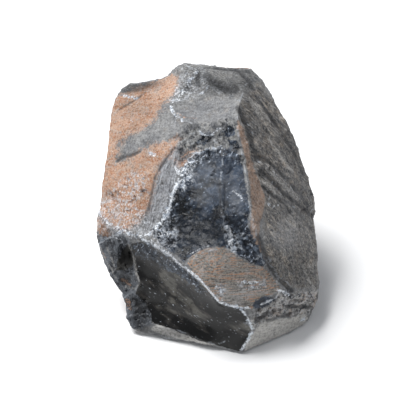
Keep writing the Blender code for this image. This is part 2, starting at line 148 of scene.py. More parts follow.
stone = {
    "merge": 0.1,  # mm, corners nearer than this are one
    "ridgeAngle": 15,  # degrees, from which an edge of the solid counts as a ridge
    "longest": 2.7,  # mm, edges longer than this are halved
    "rounds": 4,
    "evening": (0.5, -0.52),  # smoothing in and out in turn keeps the bulk
    "eveningPairs": 5,
    "scoopEasing": 8,  # rounds of smoothing in the scoop
    "scoopMargin": 4,  # mm, and how far from its rim they stop
    "flatSpot": 0.3,  # mm, what lies lower is the spot that the stone rests on
    "flatFade": 3,  # mm, over which the relief grows above it
    "smoothAngle": 32,  # degrees, sharper edges stay sharp
    "seed": (3.1, 8.7, 5.3),
    # where markings lie, in mm
    "shrinking": 90,  # the front's markings have shrunk by this where the skin faces right away
    "markFade": 5,  # the relief changes over this at the edge of a marking
    "bandReach": 15,  # the mahogany counts as no deeper than this
    "bandBend": (12, 7),  # how far the hidden flow bands swing, in long and in short waves
    "scarRim": 1.6,  # a hidden scar's glass runs this far over its rim
    "spared": (-95, -95),  # round here, at the pocket and the foot, ridges aren't worn
    "sparedSize": 45,
    "ridgeHalf": 0.9,  # half the width of a worn ridge
    "crushTrim": 0.5,  # crushed edges are drawn narrower by this
    # heights of the relief, in mm
    "lift": 0.8,  # the whole skin stands over the solid, so that chips cut down to it
    "grain": 0.25,  # fine roughness
    "lump": 0.5,  # broad unevenness
    "wear": 1.0,  # small chips along the ridges
    "wearReach": 2.0,  # and how far they reach from them
    "crown": 0.6,  # streaks on the crown
    "streak": 1.5,  # and on the right flank
    "groove": 0.9,  # depth of the dark lines
    "crust": 1.2,
    "crush": 0.7,  # powder along the crushed lines
    "hackle": 0.5,
    "hackleStart": (4, 150),  # the hackles fan out from here
    "hackleRidges": 46,  # in a radian of the fan
    "cheek": 0.45,  # streaks down the cheek
    "wave": 0.18,  # waves of the breaking crack in the hidden glass
    "waveStart": (20, 150, 190),
    "waveStep": 3.2,  # mm in a radian, so they are about 20 mm long
    # broken ground, as little faces: size in mm, slope, height and seed
    "faces": [(12, 0.22, 0.7, 1), (6, 0.3, 0.45, 2)],
    "shells": [(8, 0.15, 0.55, 3), (4, 0.2, 0.4, 4)],
    "skinArea": 220000,  # square mm, which gives how many little faces there are
    # how broken the ground is in these markings, and how much calmer than the rest in those
    "broken": {"crust": 0.7, "shatter": 0.5, "hackle": 0.5, "bruise": 0.25, "ear": 0.5},
    "calmer": {"crown": 0.6, "mahogany": 0.5, "shelf": 0.8},
}

bpy.ops.object.select_all(action="DESELECT")
stonePiece = bpy.data.objects.new("obsidian_boulder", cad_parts["boulder"].data.copy())
bpy.context.scene.collection.objects.link(stonePiece)
stonePiece.select_set(True)
bpy.context.view_layer.objects.active = stonePiece
bpy.ops.object.mode_set(mode="EDIT")
bpy.ops.mesh.select_all(action="SELECT")
bpy.ops.mesh.remove_doubles(threshold=stone["merge"] * mm)
bpy.ops.mesh.customdata_custom_splitnormals_clear()
bpy.ops.object.mode_set(mode="OBJECT")
mesh = stonePiece.data


def selectCorners(chosen):
    # selects these vertices and the edges between them, from object mode
    mesh.vertices.foreach_set("select", chosen)
    mesh.edges.foreach_set("select", [chosen[a] and chosen[b] for a, b in (e.vertices for e in mesh.edges)])


# ridges are marked sharp, so that the evening below spares them, and outward ones are marked as seams
shape = bmesh.new()
shape.from_mesh(mesh)
for edge in shape.edges:
    turn = math.degrees(edge.calc_face_angle_signed(0))
    edge.smooth = abs(turn) < stone["ridgeAngle"]
    edge.seam = turn > stone["ridgeAngle"]
shape.to_mesh(mesh)
shape.free()

# long edges are halved, round by round
for step in range(stone["rounds"]):
    ends = [(mesh.vertices[a].co, mesh.vertices[b].co) for a, b in (e.vertices for e in mesh.edges)]
    tooLong = [(a - b).length > stone["longest"] * mm for a, b in ends]
    if not any(tooLong):
        break
    bpy.ops.object.mode_set(mode="EDIT")
    bpy.ops.mesh.select_mode(type="EDGE")
    bpy.ops.mesh.select_all(action="DESELECT")
    bpy.ops.object.mode_set(mode="OBJECT")
    mesh.edges.foreach_set("select", tooLong)
    bpy.ops.object.mode_set(mode="EDIT")
    bpy.ops.mesh.subdivide(number_cuts=1)
    bpy.ops.mesh.select_all(action="SELECT")
    bpy.ops.mesh.quads_convert_to_tris(quad_method="SHORTEST_DIAGONAL")
    bpy.ops.mesh.select_mode(type="VERT")
    bpy.ops.mesh.select_all(action="DESELECT")
    bpy.ops.object.mode_set(mode="OBJECT")
    # all but the ridges and the flat spot is evened out
    sharp = {i for edge in mesh.edges if edge.use_edge_sharp for i in edge.vertices}
    selectCorners([v.index not in sharp and v.co.z > stone["flatSpot"] * mm for v in mesh.vertices])
    bpy.ops.object.mode_set(mode="EDIT")
    for pair in range(stone["eveningPairs"]):
        for factor in stone["evening"]:
            bpy.ops.mesh.vertices_smooth(factor=factor)
    bpy.ops.mesh.vertices_smooth(factor=stone["evening"][0])
    bpy.ops.object.mode_set(mode="OBJECT")
print("stone refined:", len(mesh.polygons), "triangles")

# what each part of the front is, as outlines on the front map in mm
areas = {
    "mahogany": [
        # upper band
        [(-116, 130), (-110, 136), (-97, 139), (-83, 146), (-68, 151), (-51, 157), (-39, 161), (-37, 149),
         (-41, 138), (-49, 130), (-56, 122), (-61, 113), (-66, 105), (-74, 99), (-85, 92), (-96, 88),
         (-107, 79), (-116, 75), (-122, 89), (-120, 109)],
        # lower band
        [(-124, 51), (-112, 53), (-98, 57), (-88, 63), (-74, 70), (-60, 74), (-47, 77), (-34, 82),
         (-37, 71), (-44, 61), (-53, 57), (-59, 50), (-57, 43), (-64, 28), (-66, 14), (-72, 0),
         (-83, -17), (-95, -25), (-107, -25), (-117, -17), (-126, -12), (-132, -2), (-129, 22)],
        # by the brow
        [(-38, 55), (-26, 65), (-14, 68), (-6, 67), (-11, 60), (-21, 56), (-29, 49), (-35, 47)],
        # round the end of the grey band
        [(-130, 92), (-114, 82), (-108, 71), (-110, 60), (-116, 50), (-130, 46)],
        [(-136, -12), (-124, -18), (-115, -32), (-124, -40), (-136, -32)],  # knob
    ],
    "strap": [
        [(35, 103), (40, 95), (45, 80), (48, 66), (53, 47), (59, 33), (66, 14), (64, -5), (59, -21),
         (59, -35), (63, -49), (59, -58), (54, -51), (49, -35), (50, -16), (51, 2), (49, 19), (47, 37),
         (43, 58), (39, 77), (34, 94)],
    ],
    "shelf": [
        [(-24, -64), (-19, -56), (-9, -50), (2, -46), (21, -44), (29, -51), (37, -58), (49, -64),
         (63, -68), (72, -77), (80, -88), (86, -96), (75, -101), (63, -103), (56, -110), (52, -118),
         (37, -116), (26, -112), (16, -111), (7, -103), (-4, -92), (-14, -79)],
    ],
    "blackGlass": [
        # black scar
        [(-9, 66), (1, 69), (13, 68), (26, 68), (35, 62), (41, 49), (43, 33), (46, 14), (49, -5),
         (45, -16), (51, -32), (58, -44), (63, -56), (68, -64), (63, -68), (49, -63), (37, -57),
         (29, -49), (21, -45), (2, -46), (-10, -50), (-21, -57), (-28, -63), (-37, -55), (-47, -49),
         (-54, -44), (-61, -35), (-54, -24), (-48, -8), (-46, 4), (-40, 18), (-34, 27), (-31, 40),
         (-22, 49), (-16, 59)],
        [(12, 84), (15, 92), (24, 97), (32, 94), (32, 86), (25, 83)],  # brow chip
        # nook glass
        [(55, -109), (63, -104), (75, -104), (80, -108), (73, -114), (64, -118), (55, -118), (52, -115)],
        [(-13, 77), (-7, 86), (2, 91), (8, 84), (1, 77), (-6, 73)],  # second chip
        [(23, 79), (34, 79), (37, 70), (27, 69)],  # third chip
        [(89, -121), (100, -118), (114, -115), (122, -119), (114, -124), (100, -126)],  # low chips
    ],
    "smokyGlass": [
        [(-91, -42), (-74, -39), (-62, -48), (-44, -59), (-28, -70), (-14, -82), (-2, -94), (13, -109),
         (28, -115), (41, -117), (46, -129), (51, -145), (45, -158), (38, -170), (20, -165), (2, -160),
         (-21, -152), (-45, -143), (-67, -137), (-68, -126), (-76, -112), (-86, -102), (-84, -96),
         (-81, -85), (-86, -72), (-88, -56)],
    ],
    # pale undersides, partly painted reflection of the white floor
    "paleUndersideAndFloorReflection": [
        # undercut
        [(45, -158), (52, -146), (64, -134), (78, -130), (98, -131), (114, -126), (121, -132),
         (110, -143), (86, -153), (64, -162), (43, -170)],
        # sill
        [(-62, -139), (-51, -140), (-31, -146), (-10, -152), (5, -158), (17, -164), (-4, -160),
         (-27, -157), (-51, -150), (-62, -148), (-68, -144)],
    ],
    "bruise": [
        # peak
        [(-22, 172), (-5, 167), (0, 154), (-6, 141), (-14, 134), (-29, 129), (-38, 130), (-37, 144),
         (-33, 158)],
        # low mahogany
        [(-120, 14), (-100, 33), (-86, 43), (-72, 38), (-73, 21), (-83, 4), (-71, -7), (-68, -21),
         (-85, -33), (-105, -29), (-122, -22), (-132, -7), (-130, 6)],
        # scar rim
        [(-14, 66), (-5, 61), (-12, 52), (-18, 42), (-14, 30), (-24, 25), (-35, 21), (-42, 6), (-49, -8),
         (-56, -5), (-47, 14), (-41, 29), (-35, 45), (-26, 56)],
        # spine head
        [(-85, -33), (-68, -28), (-56, -16), (-47, -9), (-38, -16), (-33, -33), (-38, -44), (-49, -49),
         (-61, -41), (-73, -39)],
        # knob
        [(-130, -17), (-117, -8), (-105, -19), (-102, -31), (-115, -38), (-128, -43), (-133, -31)],
        [(9, -88), (19, -91), (21, -100), (14, -104), (6, -98)],  # shelf blotch
        [(33, -85), (49, -86), (63, -84), (73, -90), (63, -95), (44, -93), (35, -93)],  # shelf row
    ],
    "hackle": [
        [(-33, 98), (-14, 99), (7, 101), (28, 106), (35, 101), (35, 86), (37, 68), (28, 66), (13, 68),
         (1, 69), (-9, 66), (-21, 59), (-33, 53), (-38, 61), (-35, 77), (-31, 88)],
    ],
    "cheek": [
        [(-38, 73), (-31, 56), (-38, 38), (-45, 12), (-52, -7), (-64, -26), (-76, -28), (-71, -7),
         (-66, 14), (-62, 33), (-57, 50), (-47, 64)],
    ],
    "crust": [
        [(82, -96), (97, -100), (113, -99), (127, -98), (133, -103), (131, -118), (123, -126),
         (110, -128), (93, -128), (76, -130), (64, -134), (53, -142), (49, -129), (59, -120), (71, -115),
         (80, -108)],
    ],
    "pocket": [
        [(-95, -42), (-90, -50), (-88, -62), (-89, -69), (-99, -74), (-109, -74), (-109, -65),
         (-104, -53)],
    ],
    "ear": [
        [(-133, -30), (-118, -36), (-104, -30), (-93, -36), (-88, -44), (-90, -56), (-87, -75),
         (-82, -90), (-84, -98), (-95, -104), (-97, -120), (-103, -120), (-106, -98), (-120, -76),
         (-131, -50)],
        # foot
        [(-98, -101), (-86, -98), (-74, -108), (-66, -122), (-64, -136), (-78, -145), (-92, -145),
         (-100, -130), (-98, -116)],
    ],
    "shatter": [
        # top of the scar
        [(-30, 40), (-26, 52), (-16, 61), (-2, 68), (14, 70), (30, 70), (39, 60), (41, 48), (34, 50),
         (24, 57), (9, 58), (-6, 54), (-17, 45), (-26, 34)],
        # under the spine
        [(-88, -42), (-70, -42), (-56, -54), (-40, -62), (-26, -72), (-12, -86), (-4, -97), (-14, -93),
         (-26, -84), (-42, -74), (-58, -66), (-72, -58), (-84, -56)],
        # scar rim crust
        [(-68, -29), (-59, -21), (-48, -7), (-44, 5), (-36, 4), (-32, -7), (-33, -19), (-28, -30),
         (-33, -40), (-44, -46), (-56, -41)],
        # shattered corner
        [(22, -21), (33, -19), (45, -16), (51, -32), (60, -51), (65, -63), (51, -63), (38, -56),
         (28, -49), (21, -41)],
    ],
}

# lines on the front map: half the width in mm, and the points. First the edges crushed to white powder, with
# one painted glint among them
crushLines = [
    (3.6, [(22, -23), (24, -32), (27, -41), (30, -49)]),  # column
    # scar rim
    (2.6, [(-9, 66), (-18, 59), (-26, 48), (-32, 40), (-34, 29), (-40, 21), (-44, 7), (-47, -7),
           (-59, -21), (-68, -31)]),
    (2.6, [(-68, 64), (-63, 62)]),  # chip on the flank
    (2.6, [(-62, -24), (-50, -30), (-38, -27)]),  # spine head
    (2.8, [(-25, 51), (-20, 43), (-24, 34)]),  # inner rim
    (3.2, [(-30, 46), (-32, 36), (-28, 24)]),  # inner rim
    (1.1, [(-36, 144), (-41, 132), (-44, 119), (-38, 109), (-30, 103)]),  # top scar rim
    (1.7, [(-131, -6), (-120, -17), (-105, -26), (-86, -33), (-68, -32)]),  # lower flank
    (1.9, [(-131, -43), (-120, -36), (-107, -30), (-100, -26)]),  # upper knob
    (1.5, [(-104, 137), (-96, 135), (-86, 132)]),  # below the shoulder chip
    (1.3, [(-92, 104), (-89, 103)]),  # chip on the upper mahogany
    # spine
    (1.5, [(-85, -34), (-68, -39), (-56, -49), (-42, -57), (-28, -68), (-14, -78), (-2, -91), (14, -110),
           (33, -115), (42, -121), (49, -134), (52, -145), (46, -158), (38, -170)]),
    (1.1, [(-68, -39), (-56, -46), (-44, -54), (-37, -61)]),  # spine second
    (0.9, [(33, -113), (42, -120), (47, -132), (51, -144)]),  # spine foot
    (1.6, [(7, -103), (19, -111), (35, -116), (49, -117)]),  # shelf low
    (1.4, [(38, -85), (49, -87), (58, -86)]),  # shelf row
    (1.3, [(52, -92), (66, -91)]),  # shelf row, lower
    (3.0, [(12, -92), (16, -98)]),  # shelf blotch
    (2.4, [(82, -96), (89, -99), (94, -101)]),  # right low
    (1.2, [(-11, 92), (-4, 85), (4, 85)]),  # brow zigzag
    (2.6, [(-14, 164), (-22, 152), (-30, 139), (-36, 130)]),  # peak
    (1.0, [(63, -112), (73, -108), (80, -105)]),  # nook
    (1.1, [(22, 173), (38, 171), (52, 170)]),  # back edge
    (1.3, [(4, 86), (10, 92), (16, 95)]),  # brow
    (0.9, [(-8, 68), (6, 70), (20, 69)]),  # top of the black scar
    (1.1, [(30, 19), (38, 13), (44, 6)]),  # painted glint in the black scar, drawn as white powder
    (1.6, [(-10, 136), (-2, 140), (0, 145)]),  # top tan
    (1.4, [(70, 4), (76, 1), (81, 2)]),  # right nick
    (1.7, [(112, -134), (116, -132)]),  # low corner
]

# edges struck so lately that they are still bright, and one painted glint
freshLines = [
    # spine
    (0.8, [(-66, -38), (-56, -48), (-42, -57), (-28, -68), (-14, -78), (-2, -91), (14, -110),
           (33, -115)]),
    (0.6, [(42, -121), (49, -134), (52, -145), (46, -158), (38, -170)]),  # spine foot
    (0.7, [(-80, -35), (-66, -40), (-54, -50)]),  # spine head
    (0.9, [(-34, 31), (-40, 21), (-44, 7), (-47, -5)]),  # scar rim
    (1.3, [(-38, 48), (-34, 40)]),  # scar rim, upper
    (0.8, [(30, 19), (37, 14), (43, 7)]),  # painted glint in the black scar
    (1.3, [(25, -24), (27, -34), (24, -43)]),  # column
    (0.6, [(-131, -43), (-122, -38), (-112, -34), (-103, -38)]),  # above the pocket
    (0.3, [(-21, -54), (-8, -47), (4, -44)]),  # shelf tip
    (0.9, [(80, -96), (88, -98)]),  # right end of the shelf
    (0.6, [(62, -113), (70, -110), (76, -106)]),  # nook
]

# grooves and dark edges: dark cracks, and painted shade in the grooves
darkLines = [
    (1.9, [(-109, 56), (-101, 61), (-91, 63), (-81, 67)]),  # lower band edge
    (1.0, [(-107, 119), (-92, 128), (-76, 139)]),  # thin crack
    (1.2, [(-42, 68), (-53, 52), (-62, 38), (-66, 19), (-70, -2)]),  # cheek line
    (3.1, [(35, 118), (41, 108), (47, 92), (52, 73), (58, 56)]),  # strap side
    (2.0, [(60, 61), (76, 51), (94, 33), (108, 19), (119, 2)]),  # flank 1
    (2.4, [(62, 44), (76, 30), (89, 18), (103, 7), (118, -2), (127, -12)]),  # flank 2
    (1.7, [(80, 14), (97, 4), (112, -11), (124, -26)]),  # flank 3
    (1.6, [(63, 26), (75, 15), (90, 5), (97, -4)]),  # flank 4
    (1.7, [(76, 108), (90, 88), (104, 64), (115, 39)]),  # flank 5
    (1.7, [(56, 134), (69, 117), (82, 98)]),  # flank 6
    (2.9, [(58, -33), (65, -49), (72, -68), (84, -84), (98, -97)]),  # flank foot
    (5.0, [(-1, 159), (10, 149), (22, 141), (33, 141)]),  # crown
    (2.6, [(-11, 164), (-13, 154), (-11, 146)]),  # crown 2
    (2.4, [(34, 167), (46, 156), (55, 142)]),  # crown 3
    (1.1, [(13, 35), (14, 21), (15, 5), (16, -9)]),  # seam line 1
    (0.8, [(20, 33), (20, 14), (20, -2)]),  # seam line 2
    (2.6, [(-91, -106), (-83, -118), (-76, -130)]),  # above the foot
    (1.4, [(-4, 169), (14, 168), (34, 166), (50, 163)]),  # crown edge
    (2.8, [(56, -133), (66, -126), (78, -121)]),  # crust, left
    (2.0, [(70, -133), (84, -129), (97, -126)]),  # crust, low
    (2.2, [(94, -117), (107, -117), (121, -119)]),  # crust, right
]

# chips where the glass is thin and amber
amberLines = [
    (1.8, [(-104, -86), (-98, -88), (-93, -93)]),  # ear
    (2.4, [(-96, -111), (-93, -120)]),  # foot
    (1.0, [(-126, -52), (-123, -60)]),  # knob
    (1.3, [(-58, 68), (-52, 65)]),  # chip on the flank
    (0.7, [(-30, 60), (-22, 66), (-12, 66)]),  # brow
    (0.4, [(-38, 112), (-28, 107), (-14, 106)]),  # top scar
]

# pale streaks beside the grooves and rims
lightLines = [
    (1.6, [(68, 47), (88, 28), (105, 12)]),  # flank 1
    (1.4, [(71, 81), (88, 60), (100, 43)]),  # flank 2
    (1.9, [(50, 124), (64, 107)]),  # flank top
    (1.1, [(90, -14), (97, -19), (105, -26)]),  # flank curl
    (1.4, [(113, -68), (119, -86), (127, -96)]),  # right end
    # round the pocket
    (1.0, [(-93, -42), (-90, -54), (-86, -67), (-85, -78), (-81, -90), (-87, -97), (-98, -94)]),
    (0.8, [(-128, -46), (-124, -60), (-116, -72), (-109, -86)]),  # ear
    (0.8, [(-121, -46), (-115, -60), (-111, -74)]),  # ear, inner
    (1.4, [(63, 33), (80, 16), (97, 2), (114, -12)]),  # flank 3
    (1.4, [(48, 131), (60, 119), (74, 103)]),  # flank 4
]

# soft patches of tint, partly the stone's own and partly painted light and shade: middle, half width and half
# height in mm, and how much lighter, or darker below 0
tintsAndPaintedLight = [
    ((-84, 122), (34, 22), -0.45),  # upper mahogany
    ((-92, 145), (15, 5), -1.3),  # shoulder chip
    ((-72, 150), (16, 5), -0.8),  # shoulder
    ((17, 145), (19, 10), -1.1),  # painted shade in the crown hollow
    ((46, 146), (16, 22), -0.5),  # crown right
    ((-10, 159), (6, 7), -0.6),  # painted shade in the peak hollow
    ((29, 167), (24, 6), -0.35),  # back edge
    ((-6, 117), (26, 12), 0.1),  # painted sheen on the top scar
    ((-103, 61), (12, 6), -0.35),  # grey band end
    ((-70, 86), (32, 10), -0.15),  # grey band
    ((-90, 30), (34, 40), -0.15),  # lower mahogany
    ((-5, 84), (22, 10), -0.4),  # hackle
    ((25, 78), (11, 13), -0.25),  # hackle right
    ((48, 99), (6, 19), -0.3),  # flank beside the strap
    ((92, -33), (22, 20), 0.6),  # round of the flank
    ((105, -76), (16, 18), -0.45),  # low flank
    ((77, -65), (10, 17), -0.35),  # low flank left
    ((100, 20), (22, 30), 0.2),  # middle flank
    ((-80, -130), (13, 18), -1.3),  # foot
    ((-101, -86), (14, 14), -0.8),  # ear
    ((-99, -60), (11, 16), -0.9),  # painted shade in the pocket
    ((-84, -110), (12, 17), -0.35),  # scoop left
    ((-62, -58), (22, 12), -0.7),  # scoop top
    ((-36, -148), (34, 6), -0.7),  # sill
    ((-20, 150), (14, 16), -0.45),  # peak
    ((7, 150), (9, 8), -0.5),  # painted shade in the crown dip
    ((-7, 137), (12, 9), -0.4),  # above the top scar
    ((-1, 40), (16, 17), 0.35),  # painted sheen on the glass top
    ((31, 9), (12, 22), 0.4),  # painted sheen on the glass right
    ((-6, -28), (34, 20), -1.4),  # painted shade on the lower glass
    ((-33, 0), (12, 18), -0.5),  # glass left
    ((-6, 8), (13, 13), 0.35),  # painted sheen in the glass middle
    ((40, -102), (26, 8), 0.5),  # shelf low
    ((4, -58), (24, 8), 0.35),  # shelf top
    ((63, -108), (14, 6), -0.5),  # painted shade below the shelf
    ((-121, -40), (14, 16), -0.8),  # knob
]

# the broad scars round the back: centre on the map and radius in mm, and the marking of the break
backScars = [
    ((4, 140, -322), 230, "blackGlass"),
    ((233, 62, -121), 150, "smokyGlass"),
    ((-139, 53, -168), 110, "blackGlass"),
    ((-195, -64, -117), 120, "smokyGlass"),
]

crown = [(-36, 160), (-29, 176), (17, 173), (52, 171), (70, 152), (56, 118), (38, 126), (14, 132),
         (-14, 149)]
rightFlank = [(35, 118), (60, 150), (95, 105), (128, 20), (132, -60), (130, -96), (88, -90), (66, -60),
              (66, 10), (48, 66)]

# flow bands of mahogany run through the stone: the way across them, and where each starts and ends in mm
bandWay = (-0.45, 0.89, 0.22)
bandSpans = [(42, 93), (112, 142), (-62, -40)]
# ways that the cracks ran, in the stone's own frame
flankWay = (59, -20, -38)
cheekWay = (-0.22, -0.62, -0.75)
scoopWay = (0.85, -0.2, -0.45)
hackleWay = (0.1, -0.6, -0.7)

# noise in the relief: lump size in mm, detail, seed, and the way of a drawn-out one
reliefNoise = {
    "longBend": (60, 2, 4),
    "shortBend": (22, 2, 5),
    "grain": (4, 3, 1),
    "lump": (15, 2, 2),
    "patches": (40, 2, 33),
    "hackle": (20, 2, 40),
    "cheek": (4, 2, 43, cheekWay),
    "wear": (5, 2, 9),
    "crust": (9, 3, 12),
    "crush": (2.6, 2, 15),
    "streak": (7, 3, 21, flankWay),
    "wave": (40, 1, 24),
}


def readPlaces():
    # every vertex's place in mm, and its outward way
    rows = [np.empty(len(mesh.vertices) * 3) for _ in range(2)]
    mesh.vertices.foreach_get("co", rows[0])
    mesh.vertices.foreach_get("normal", rows[1])
    return rows[0].reshape(-1, 3) / mm, rows[1].reshape(-1, 3)


edgeOn = 0.1  # a skin that faces the front by less than this is seen nearly edge-on
# the scoop's waves are eased, because glass breaks in smoother ones than the solid's
places, normals = readPlaces()
inScoop = insideOutline(onMap(places)[:, :2], areas["smokyGlass"][0]) > stone["scoopMargin"]
inScoop &= normals @ np.array(lookUp) > edgeOn
selectCorners(inScoop)
bpy.ops.object.mode_set(mode="EDIT")
bpy.ops.mesh.select_mode(type="VERT")
bpy.ops.mesh.vertices_smooth(factor=stone["evening"][0], repeat=stone["scoopEasing"])
bpy.ops.object.mode_set(mode="OBJECT")

places, normals = readPlaces()
count = len(places)
spots = onMap(places)
flat = spots[:, :2]  # across and up alone
facing = normals @ np.array(lookUp)  # 1 where the skin faces the front, 0 on the skyline, -1 behind
behind = stone["shrinking"] * np.clip(-facing - 0.02, 0, 1)  # starts just past the skyline


def lumps(size, detail, seed, way=None, stretch=8):
    # noise from about -1 to 1, its lumps size mm across and drawn out along a way, one value a vertex
    offset = Vector(stone["seed"]) + Vector((seed, 0, 0))
    spread = places / size
    if way is not None:
        line = np.array(Vector(way).normalized())
        spread = spread - np.outer(spread @ line, line) * (1 - 1 / stretch)
    falloff, gap = 1.0, 2.1  # each octave is 2.1 times as fine, and as much weaker
    return np.array([noise.fractal(Vector(p) + offset, falloff, gap, detail) for p in spread])


def uneven(name):
    return lumps(*reliefNoise[name])


def insideAny(outlines):
    # above 0 inside any of the outlines, in mm, and less behind
    return np.max([insideOutline(flat, outline) for outline in outlines], axis=0) - behind


def onLines(lines):
    # above 0 within the half width of a line
    return np.max([width - toLine(flat, line) for width, line in lines], axis=0) - behind


def treeOf(points):
    tree = KDTree(len(points))
    for i, point in enumerate(points):
        tree.insert(point, i)
    tree.balance()
    return tree


def chipped(size, slope, seed):
    # broken ground: flat little faces about size mm across, each with a slope and a step of its own
    dice = np.random.default_rng(seed * 10)
    many = int(stone["skinArea"] / size**2)
    seeds = places[dice.choice(count, many, replace=False)]
    seedTree = treeOf(seeds)
    # their edges wander a little
    wander = [lumps(size * 0.7, 1, seed + 31 * axis) for axis in (1, 2, 3)]
    bent = places + np.stack(wander, 1) * size * 0.25
    nearest = np.array([seedTree.find(p)[1] for p in bent])
    tilts = dice.normal(0, slope, (many, 3))
    steps = dice.normal(0, slope * size * 0.25, many)
    return ((bent - seeds[nearest]) * tilts[nearest]).sum(1) + steps[nearest]


def ground(faces):
    # broken ground of more than one size, one height a vertex
    return sum(chipped(size, slope, seed) * high for size, slope, high, seed in faces)


def within(name, fade):
    # 0 outside a marking and 1 inside it, soft between over the fade in mm
    return np.clip(0.5 + depth[name] / fade, 0, 1)


depth = {name: insideAny(outlines) for name, outlines in areas.items()}
depth["crush"] = onLines(crushLines) - stone["crushTrim"]
depth["dark"] = onLines(darkLines)
depth["light"] = onLines(lightLines)
depth["fresh"] = onLines(freshLines)
depth["amber"] = onLines(amberLines)
depth["flank"] = insideAny([rightFlank])
depth["crown"] = insideAny([crown])

# the mahogany passes over the skyline without a break, from its outlines to the hidden flow bands
longBend, shortBend = stone["bandBend"]
along = spots @ np.array(bandWay) + longBend * uneven("longBend") + shortBend * uneven("shortBend")
inBand = np.max([np.minimum(along - low, high - along) for low, high in bandSpans], axis=0)
front = np.clip(0.5 + facing * 5, 0, 1)  # 1 in front, 0 behind, passing over near the skyline
reach = stone["bandReach"]
onFront = np.clip(depth["mahogany"] + behind, -reach, reach)
depth["mahogany"] = front * onFront + (1 - front) * np.clip(inBand, -reach, reach)

hidden = -facing * 45 - 8  # above 0 well behind the skyline
for centre, radius, name in backScars:
    far = np.linalg.norm(spots - np.array(centre), axis=1)
    inScar = np.minimum(np.minimum(4, (radius + stone["scarRim"] - far) * 3), hidden)
    depth[name] = np.maximum(depth[name], inScar)

# wear and crushed edges follow the outward ridges, less behind and hardly round the pocket and the foot
ridge = np.zeros(count, bool)
for edge in mesh.edges:
    if edge.use_seam:
        ridge[list(edge.vertices)] = True
ridgeTree = treeOf(places[ridge])
toRidge = np.array([ridgeTree.find(p)[2] for p in places])
toSpared = np.linalg.norm(flat - np.array(stone["spared"]), axis=1) / stone["sparedSize"]
spared = np.exp(-(toSpared**2)) + 0.6 * np.clip(-facing * 3, 0, 1)
depth["ridge"] = stone["ridgeHalf"] - toRidge - 4 * spared

share = {name: within(name, stone["markFade"]) for name in depth}
smooth = share["smokyGlass"]
glass = share["blackGlass"]
calm = 1 - smooth  # smooth glass takes little roughness
skin = calm * (1 - glass)
print("markings placed")

move = stone["lift"] + stone["grain"] * uneven("grain") * calm + stone["lump"] * uneven("lump") * calm
broken = np.clip(sum(weight * share[name] for name, weight in stone["broken"].items()), 0, 1)
calmer = 1 - sum(weight * share[name] for name, weight in stone["calmer"].items())
patches = 0.22 + 0.3 * np.clip(uneven("patches") * 2, 0, 1)  # the rest is chipped a little, in patches more
move += ground(stone["faces"]) * (broken + patches * skin * calmer)
fanX, fanY = stone["hackleStart"]
fan = np.arctan2(flat[:, 0] - fanX, fanY - flat[:, 1]) * stone["hackleRidges"]
move += stone["hackle"] * np.sin(fan + 3 * uneven("hackle")) * share["hackle"]
move += stone["cheek"] * uneven("cheek") * share["cheek"]
nearRidge = np.exp(-((toRidge / stone["wearReach"]) ** 2))
move -= stone["wear"] * np.clip(uneven("wear") + 0.15, 0, 1) * nearRidge
move += stone["crust"] * (np.abs(uneven("crust")) - 0.25) * share["crust"]
move -= stone["groove"] * within("dark", 3)
move += stone["crush"] * uneven("crush") * within("crush", 2.4)
streaks = uneven("streak")
move += stone["crown"] * streaks * share["crown"]
upFlank = np.clip((flat[:, 1] + 30) / 40, 0.25, 1)  # the streaks run out low on the flank
move += stone["streak"] * streaks * share["flank"] * upFlank
# the black glass broke in small shells, each with a sharp edge, and in flatter ones behind
move += ground(stone["shells"]) * glass * np.where(facing > -edgeOn, 1, 0.35)
# waves of the breaking crack run out across the hidden glass from its rim
struck = np.linalg.norm(places - np.array(stone["waveStart"]), axis=1) / stone["waveStep"]
waves = np.sin(struck + 2 * uneven("wave")) * np.maximum(glass, smooth)
move += stone["wave"] * waves * (facing < -edgeOn)
# the flat spot stays flat
hold = np.clip((places[:, 2] - stone["flatSpot"]) / stone["flatFade"], 0, 1)
moved = places + normals * (move * hold)[:, None]
moved[:, 2] = np.maximum(moved[:, 2], 0)
mesh.vertices.foreach_set("co", (moved * mm).ravel())
mesh.update()
print("relief raised")

# tints with painted light and shade from the patches, only where the skin faces the front
depth["tintAndPaintedLight"] = np.zeros(count)
for centre, half, amount in tintsAndPaintedLight:
    away = ((flat - np.array(centre)) / np.array(half)) ** 2
    depth["tintAndPaintedLight"] += amount * np.exp(-0.9 * away.sum(1)) * np.clip(facing * 4, 0, 1)
depth["low"] = move  # painted shade: what lies low in the relief is darkened
for name, values in depth.items():
    layer = mesh.attributes.new(name, "FLOAT", "POINT")
    layer.data.foreach_set("value", values.astype(np.float32))
for edge in mesh.edges:
    edge.use_edge_sharp = False
    edge.use_seam = False
mesh.shade_smooth()
bpy.ops.object.shade_smooth_by_angle(angle=math.radians(stone["smoothAngle"]))

